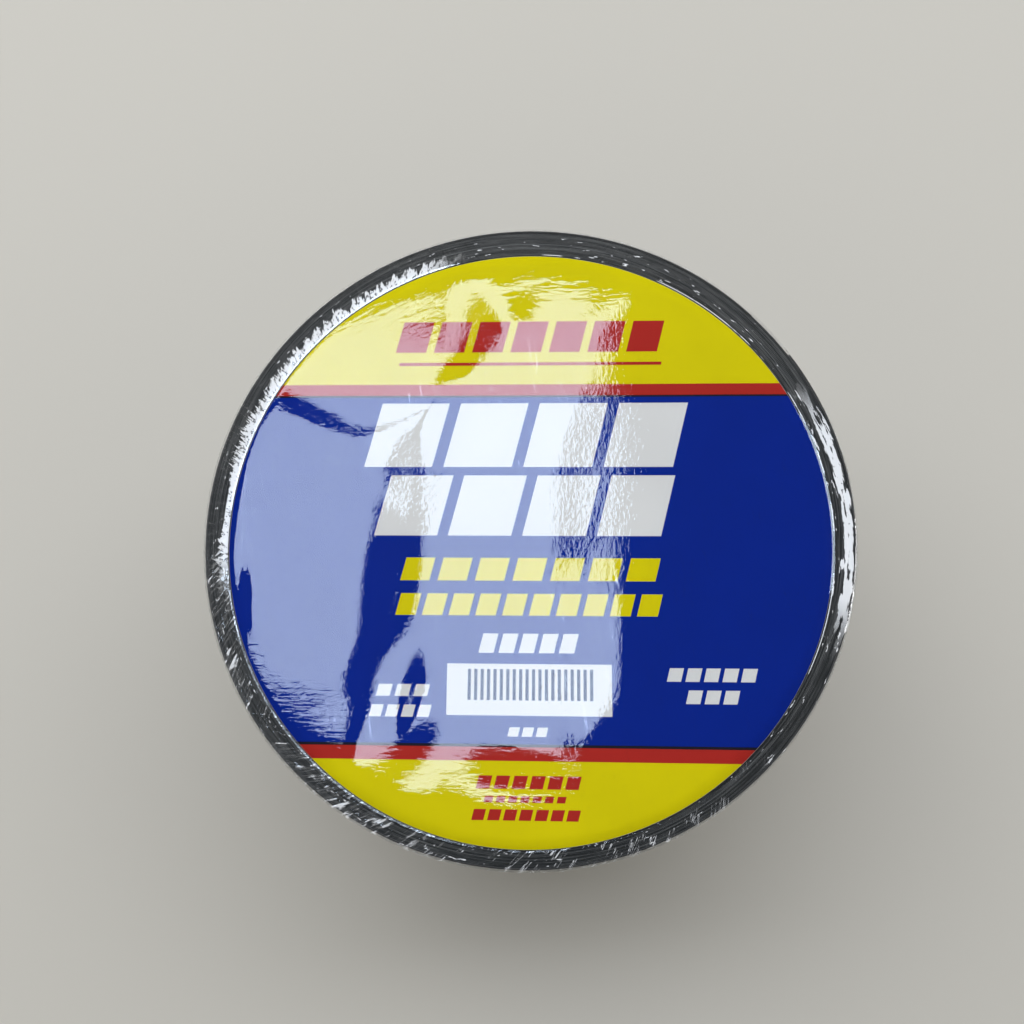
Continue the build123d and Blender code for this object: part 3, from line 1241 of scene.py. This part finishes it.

# %% [markdown]
# ### Clear film
# Clear film lets nearly all light through and mirrors a little of it: four parts in a hundred at each
# face when it is seen square on, and more at a slant. A glass shader would bend the light and needs many
# more samples. The film is so thin that nothing seems bent, so the material mixes a Transparent shader
# with a mirror, and the share of the mirror follows the angle.
# Where the film is gathered it lies in several layers with sharp creases, so it whitens a little and glints
# from all sides. Those glints are too fine for the mesh, so they are painted into the material as white
# flecks and bands, painted highlights that stay white whatever the lamps do. A few noises that run round
# the
# roll draw them: teeth beside the label, a crumpled net, thin slanting creases and broad patches, each on
# its own arc of the rim.

# %% Painted glints on the gathered film


def drawn_noise_group():
    """Noise on the rim: so many grains per millimetre round the roll and across it, with a slant."""
    inputs = {"X": 0.0, "Y": 0.0, "Travel": 0.0, "Around": 1.0, "Across": 1.0, "Slant": 0.0, "Seed": 0.0}
    w, given, result = new_group("drawn_noise", "ShaderNodeTree", inputs, {"Value": "NodeSocketFloat"})
    reach = 48.0
    lean = w.math("DIVIDE", w.times(given["Slant"], given["Travel"]), reach)
    angle = w.plus(w.math("ARCTAN2", given["Y"], given["X"]), lean)
    round_scale = w.times(given["Around"], reach)
    place = w.vector(
        w.times(w.math("COSINE", angle), round_scale),
        w.times(w.math("SINE", angle), round_scale),
        w.plus(w.times(given["Travel"], given["Across"]), w.times(given["Seed"], 13.7)),
    )
    w.feed(result["Value"], w.noise(place, 1.0, 3.0, 0.55))
    return w.tree


def arc_mask_group():
    """1 on an arc of the roll and 0 elsewhere."""
    inputs = {"X": 0.0, "Y": 0.0, "Middle": 0.0, "Half": 30.0, "Soft": 10.0}
    w, given, result = new_group("arc_mask", "ShaderNodeTree", inputs, {"Mask": "NodeSocketFloat"})
    angle = w.math("DEGREES", w.math("ARCTAN2", given["Y"], given["X"]))
    away = w.math("ABSOLUTE", w.math("WRAP", w.minus(angle, given["Middle"]), 180.0, -180.0))
    into = w.minus(given["Half"], away)
    half_soft = w.times(given["Soft"], 0.5)
    w.feed(result["Mask"], w.ramp(w.math("DIVIDE", into, half_soft), -1.0, 1.0))
    return w.tree


drawn_noise = drawn_noise_group()
arc_mask = arc_mask_group()


class Rim:
    """The rim as the painted glints see it: a point's place there, and the noises and arcs drawn on it."""

    def __init__(self, w, place):
        self.w = w
        self.x, self.y, self.travel = place["X"], place["Y"], place["Travel"]

    def noise(self, around, across, slant_by, seed):
        """So many grains per millimetre round the roll and across the rim, with a slant."""
        place = {"x": self.x, "y": self.y, "travel": self.travel}
        grains = {"around": around, "across": across, "slant": slant_by, "seed": seed}
        return self.w.group(drawn_noise, **place, **grains)[0]

    def arc(self, middle, half, soft):
        """1 on an arc of the roll, in degrees, and 0 elsewhere."""
        return self.w.group(arc_mask, x=self.x, y=self.y, middle=middle, half=half, soft=soft)[0]


def crests(w, noise, outer, inner):
    """Thin lines where a noise passes its middle."""
    return w.ramp(w.math("ABSOLUTE", w.minus(noise, 0.5)), outer, inner)


# %% [markdown]
# Each kind of painted glint is a short function. The three that also stand up from the film give their
# relief with them. The comb's teeth start at the label's edge and have ragged ends, the net's folds lean
# both ways, and the thin creases follow the crests of one slanting noise.

# %% Glints on teeth, net and thin creases


def comb_of_teeth(w, rim):
    """Painted white glints in teeth beside the label, closer together in the middle of their arc, and the
    teeth's relief.
    """
    close = rim.arc(162.0, 9.0, 8.0)
    smooth = rim.arc(176.0, 6.0, 6.0)
    wide_teeth = w.times(rim.noise(0.85, 0.10, 0.4, 1.0), w.minus(1.0, close))
    teeth = w.plus(wide_teeth, w.times(rim.noise(2.4, 0.06, 0.25, 2.0), close))
    hairs = rim.noise(3.0, 0.08, 0.5, 14.0)
    reach = w.times_plus(teeth, 4.5, w.times_plus(hairs, 3.0, -2.15))
    reach = w.times_plus(smooth, w.minus(1.0, reach), reach)
    arc = rim.arc(148.0, 42.0, 10.0)
    comb_glints = w.times(arc, w.ramp(w.minus(reach, rim.travel), -0.06, 0.06))
    broken = w.ramp(rim.noise(1.8, 1.4, 0.4, 3.0), 0.62, 0.53, 0.4, 1.0)
    return w.times(comb_glints, broken), w.times(teeth, w.times(arc, 0.12))


def crumpled_net_glints(w, rim):
    """Painted glints on folds that turn from one lean to the other, with fainter ones between, and the
    folds' relief.
    """
    arc = rim.arc(216.0, 36.0, 20.0)
    turning = rim.arc(196.0, 22.0, 16.0)

    def leaning(around, across, seed):
        back = rim.noise(around, across, -0.85, seed)
        fore = rim.noise(around, across, 0.9, seed + 1.0)
        return w.times_plus(turning, w.minus(back, fore), fore)

    folds = leaning(1.25, 0.32, 4.0)
    faint = w.ramp(leaning(2.6, 0.3, 18.0), 0.52, 0.60, 0.0, 0.24)
    broken = w.ramp(rim.noise(0.6, 0.5, 0.0, 6.0), 0.42, 0.54, 0.1, 1.0)
    net = w.larger(w.times(w.ramp(folds, 0.58, 0.63), broken), faint)
    return w.times(arc, net), w.times(folds, w.times(arc, 0.14))


def thin_crease_glints(w, rim):
    """Painted glints in thin slanting lines in broken pieces, and the lines' relief."""
    arc = rim.arc(268.0, 40.0, 30.0)
    slanting = rim.noise(1.3, 0.14, 0.9, 7.0)
    broken = w.ramp(rim.noise(0.3, 0.35, 0.2, 8.0), 0.53, 0.58)
    lines = w.times(crests(w, slanting, 0.018, 0.006), broken)
    return w.times(arc, lines), w.times(slanting, w.times(arc, 0.08))


# %% [markdown]
# The other painted glints have no relief: broad patches at the right, a broken line along the label's edge,
# a few dashes, and on the side lines along long wrinkles and the short ones that the weld pulls.

# %% Painted patches, edge glints and side wrinkle glints


def broad_patches(w, rim):
    """Wide painted glints with ragged ends, most of them along the middle of the rim."""
    band = w.times(w.ramp(rim.travel, 1.2, 1.7), w.ramp(rim.travel, 3.3, 2.7))
    streaky = w.plus(rim.noise(0.25, 1.6, 0.3, 9.0), w.times(band, 0.18))
    ragged = w.ramp(rim.noise(1.4, 1.6, 0.2, 10.0), 0.30, 0.34)
    return w.times(w.times(rim.arc(3.0, 22.0, 12.0), w.ramp(streaky, 0.60, 0.63)), ragged)


def edge_glints(w, rim):
    """A painted highlight: a broken bright line just outside the label's edge, and short painted dashes all
    round.
    """
    from_edge = w.math("ABSOLUTE", w.minus(rim.travel, 0.12))
    line = w.times(w.ramp(from_edge, 0.09, 0.05), w.ramp(rim.noise(0.1, 0.0, 0.0, 11.0), 0.53, 0.58))
    line = w.times(line, w.minus(1.0, rim.arc(270.0, 55.0, 10.0)))
    return w.larger(line, w.ramp(rim.noise(0.5, 2.4, 0.2, 12.0), 0.66, 0.69))


def side_wrinkle_glints(w, rim):
    """Painted glint lines along long faint wrinkles down the side, and short ones at the weld."""
    in_places = w.ramp(rim.noise(0.06, 0.08, 0.0, 16.0), 0.50, 0.64, 0.0, 0.16)
    near_weld = w.ramp(rim.travel, 23.5, 27.8, 0.0, 0.22)
    down_side = w.times(crests(w, rim.noise(0.14, 0.05, 0.7, 15.0), 0.022, 0.0), in_places)
    at_weld = w.times(crests(w, rim.noise(0.45, 0.07, 0.3, 17.0), 0.05, 0.0), near_weld)
    return w.times(w.ramp(rim.travel, 4.5, 7.0), w.larger(down_side, at_weld))


# %% [markdown]
# One group gathers all the painted glints. The glints on the ring end where the film turns down, and the
# relief fades towards the side.

# %% All painted glints together


def film_glint_marks_group():
    """Where the gathered film gets painted white glints, partly its real whitening at creases, and the
    relief of its creases in millimetres.
    """
    inputs = {"X": 0.0, "Y": 0.0, "Travel": 0.0}
    outputs = {"Glints": "NodeSocketFloat", "Height": "NodeSocketFloat"}
    w, given, result = new_group("film_glint_marks", "ShaderNodeTree", inputs, outputs)
    rim = Rim(w, given)
    comb_glints, comb_height = comb_of_teeth(w, rim)
    net, net_height = crumpled_net_glints(w, rim)
    lines, line_height = thin_crease_glints(w, rim)
    # Painted glints of every kind; the brightest wins.
    glint_marks = comb_glints
    for more in (net, lines, broad_patches(w, rim), edge_glints(w, rim)):
        glint_marks = w.larger(glint_marks, more)

    over_rim = w.times(w.ramp(rim.travel, 4.0, 4.4), w.ramp(rim.travel, 7.0, 5.0, 0.0, 0.6))
    beside_label = w.times(w.ramp(rim.travel, 0.02, 0.08), w.ramp(rim.travel, 3.5, 3.2))
    on_ring = w.times(glint_marks, w.larger(beside_label, over_rim))
    w.feed(result["Glints"], w.larger(on_ring, side_wrinkle_glints(w, rim)))

    height = w.plus(w.plus(comb_height, net_height), line_height)
    share = w.times(w.ramp(rim.travel, 0.0, 0.3), w.ramp(rim.travel, 12.0, 3.4, 0.25, 1.0))
    w.feed(result["Height"], w.times(height, share))
    return w.tree


film_glint_marks = film_glint_marks_group()

# %% [markdown]
# Even where the film lies tight it isn't smooth. Fine streaks tear the edges of the mirrored lamps, and
# they run another way in each part of the label. All three film materials use them, so they are a node
# group too.

# %% Streaks in the tight film


def film_streaks_group():
    """Relief in millimetres: fine streaks whose heading and strength differ from place to place."""
    inputs = {"X": 0.0, "Y": 0.0, "Z": 0.0, "Ragged": 0.0075}
    w, given, result = new_group("film_streaks", "ShaderNodeTree", inputs, {"Height": "NodeSocketFloat"})
    x, y, z = given["X"], given["Y"], given["Z"]

    def streaks_along(heading, along, across):
        turned = math.radians(heading)
        reading = w.times_plus(x, math.cos(turned), w.times(y, math.sin(turned)))
        beside = w.times_plus(y, math.cos(turned), w.times(x, -math.sin(turned)))
        return w.grain(reading, along, beside, across, z)

    def spot(middle_x, middle_y, inner, outer):
        away = w.distance(w.minus(x, middle_x), w.minus(y, middle_y))
        return w.ramp(away, inner, outer, 1.0, 0.0)

    def blend(first, second, share):
        return w.times_plus(w.minus(second, first), share, first)

    low = w.larger(w.ramp(x, -11.0, -15.0), w.ramp(y, -24.0, -29.0))
    high = w.times(w.ramp(y, 24.0, 30.0), w.ramp(x, -9.0, -16.0))
    crest = w.times(w.ramp(y, 33.0, 36.5), w.minus(1.0, high))
    streaks = blend(streaks_along(86.0, 1.0, 1.6), streaks_along(0.0, 0.4, 1.7), low)
    streaks = blend(streaks, streaks_along(28.0, 0.3, 1.3), high)
    streaks = blend(streaks, streaks_along(4.0, 0.22, 0.85), crest)

    torn = w.larger(spot(10.0, 8.0, 10.0, 20.0), spot(-40.0, -27.0, 7.0, 14.0))
    torn = w.larger(torn, w.times(high, 2.5))
    torn = w.larger(torn, w.times(spot(-17.0, 8.0, 4.0, 9.0), 0.9))
    torn = w.larger(torn, w.times(spot(2.0, 28.0, 12.0, 20.0), 0.22))
    torn = w.larger(torn, crest)
    speckle = w.grain(x, 1.9, y, 1.4, 3.0)
    streaks = w.times_plus(speckle, w.ramp(crest, 0.0, 1.0, 0.55, 0.2), streaks)
    w.feed(result["Height"], w.times(streaks, w.times(w.plus(torn, 0.5), given["Ragged"])))
    return w.tree


film_streaks = film_streaks_group()

# %% [markdown]
# The material itself mixes three things: the see-through shader, the mirror, and for shadow rays the
# see-through shader alone, so that the film casts no shadow of its own.

# %% Film material
air_to_film = 0.04
most_mirror = 0.3
film_roughness = 0.015


def film_material(name, ragged, creased_with_glints):
    """Clear film: see-through, a mirror at a slant, and painted white glints on its creases."""
    material, w, shader = new_material(name)
    x, y, z = object_place(w)
    relief = w.group(film_streaks, x=x, y=y, z=z, ragged=ragged)[0]

    hairs = w.noise(w.vector(w.times_plus(y, 0.15, x), w.times(y, 0.05), 4.0), 0.9, 1.0)
    in_places = w.ramp(w.noise(w.vector(x, y, 9.0), 0.06, 1.0), 0.52, 0.6, 0.0, 0.05)
    hair = w.times(crests(w, hairs, 0.006, 0.0), in_places)
    facing = w.add("ShaderNodeLayerWeight", {"Blend": 0.5}).outputs["Facing"]
    slanted = w.times(w.math("POWER", facing, 5.0), 1 - air_to_film)
    share = w.smaller(w.plus(w.plus(slanted, air_to_film), hair), most_mirror)
    metallic, roughness = 1.0, film_roughness
    # Painted highlights: where the glints lie, the film turns a mostly opaque, rougher white, partly its
    # real whitening at creases.
    if creased_with_glints:
        glint_marks, mark_height = w.group(film_glint_marks, x=x, y=y, travel=stored_value(w, "travel"))
        relief = w.plus(relief, mark_height)
        share = w.larger(share, w.times(glint_marks, 0.8))
        metallic = w.ramp(glint_marks, 0.0, 1.0, 1.0, 0.25)
        roughness = w.times_plus(glint_marks, 0.25, film_roughness)
    w.feed(shader.inputs["Metallic"], metallic)
    dress(w, shader, (0.95, 0.96, 0.97, 1.0), roughness, relief, 1.0, 1.0)

    clear = w.step("ShaderNodeBsdfTransparent")
    film = w.step("ShaderNodeMixShader", {0: share, 1: clear, 2: shader.outputs[0]})
    shadow_ray = w.add("ShaderNodeLightPath").outputs["Is Shadow Ray"]
    mixed = w.step("ShaderNodeMixShader", {0: shadow_ray, 1: film, 2: clear})
    w.feed(material.node_tree.nodes["Material Output"].inputs["Surface"], mixed)
    return material


taut_film = film_material("taut_film", 0.0075, creased_with_glints=False)
clear_film = film_material("clear_film", 0.0075, creased_with_glints=True)
film_pieces = (
    (film_top_piece, "film_top_panel"),
    (film_top_side, "film_top_skirt"),
    (film_bottom_piece, "film_bottom_panel"),
    (film_bottom_side, "film_bottom_skirt"),
)
for film_piece, node in film_pieces:
    finish_piece(film_piece, clear_film, "clear_film", node)

for panel in (film_top_piece, film_bottom_piece):
    panel.data.materials.append(taut_film)
    for face in panel.data.polygons:
        face.material_index = int(math.hypot(face.center.x, face.center.y) < taut_radius * MM)

# %% [markdown]
# ### The trimmed weld
# A hot wire cuts and welds the film in one go and leaves a thin, knobbly bead. It follows the side at
# mid height and stops at both ends of the fold. A path with a small round section suits it, and Geometry
# Nodes again let the bead swell and wander by a rule.

# %% The weld tree


def weld_tree():
    """A thin bead along an arc, with an uneven width and an uneven path."""
    inputs = {
        "Radius": 48.1,
        "Level": 24.1,
        "Start Angle": 170.0,
        "Arc": 290.0,
        "Bead": 0.2,
        "Flatness": 2.4,
        "Unevenness": 0.35,
        "Wander": 0.12,
        "Steps": 1400,
        "Material": "NodeSocketMaterial",
    }
    outputs = {"Geometry": "NodeSocketGeometry"}
    w, given, result = new_group("film_weld_bead", "GeometryNodeTree", inputs, outputs)
    w.tree.is_modifier = True

    line = w.step("GeometryNodeMeshLine", {"Count": given["Steps"]})
    share = w.math("DIVIDE", w.step("GeometryNodeInputIndex"), w.minus(given["Steps"], 1.0))
    angle = w.math("RADIANS", w.plus(given["Start Angle"], w.times(share, given["Arc"])))
    wander = w.noise(w.vector(angle, 0.0, 0.0), 14.0, 4.0)
    level = w.plus(given["Level"], w.times(w.minus(wander, 0.5), w.times(given["Wander"], 4.0)))
    place = on_circle(w, given["Radius"], angle, level)
    arc = w.step("GeometryNodeSetPosition", {"Geometry": line, "Position": place})

    lumps = w.noise(w.vector(w.times(angle, 60.0), 1.0, 0.0), 1.0, 4.0, 0.7)
    swell = w.plus(1.0, w.times(w.minus(lumps, 0.5), w.times(given["Unevenness"], 4.0)))
    section = w.step("GeometryNodeCurvePrimitiveCircle", {"Resolution": 10, "Radius": given["Bead"]})
    flattening = w.vector(1.0, given["Flatness"], 1.0)
    flat = w.step("GeometryNodeTransform", {"Geometry": section, "Scale": flattening})
    return end_tree(w, in_metres(w, swept(w, arc, flat, Scale=swell)), given, result)


film_weld = film_material("film_weld", 0.06, creased_with_glints=False)
weld = grown("film_weld_bead", weld_tree(), {
    "Radius": film_side - 0.12,
    "Level": roll_middle,
    "Start Angle": 170.0,
    "Arc": 290.0,
    "Material": film_weld,
})
finish_piece(weld, film_weld, "film_weld", "film_trim_seal")

# %% [markdown]
# ## Finish
# The view transform is set to Standard, so colours show as they are.

bpy.context.scene.view_settings.view_transform = "Standard"
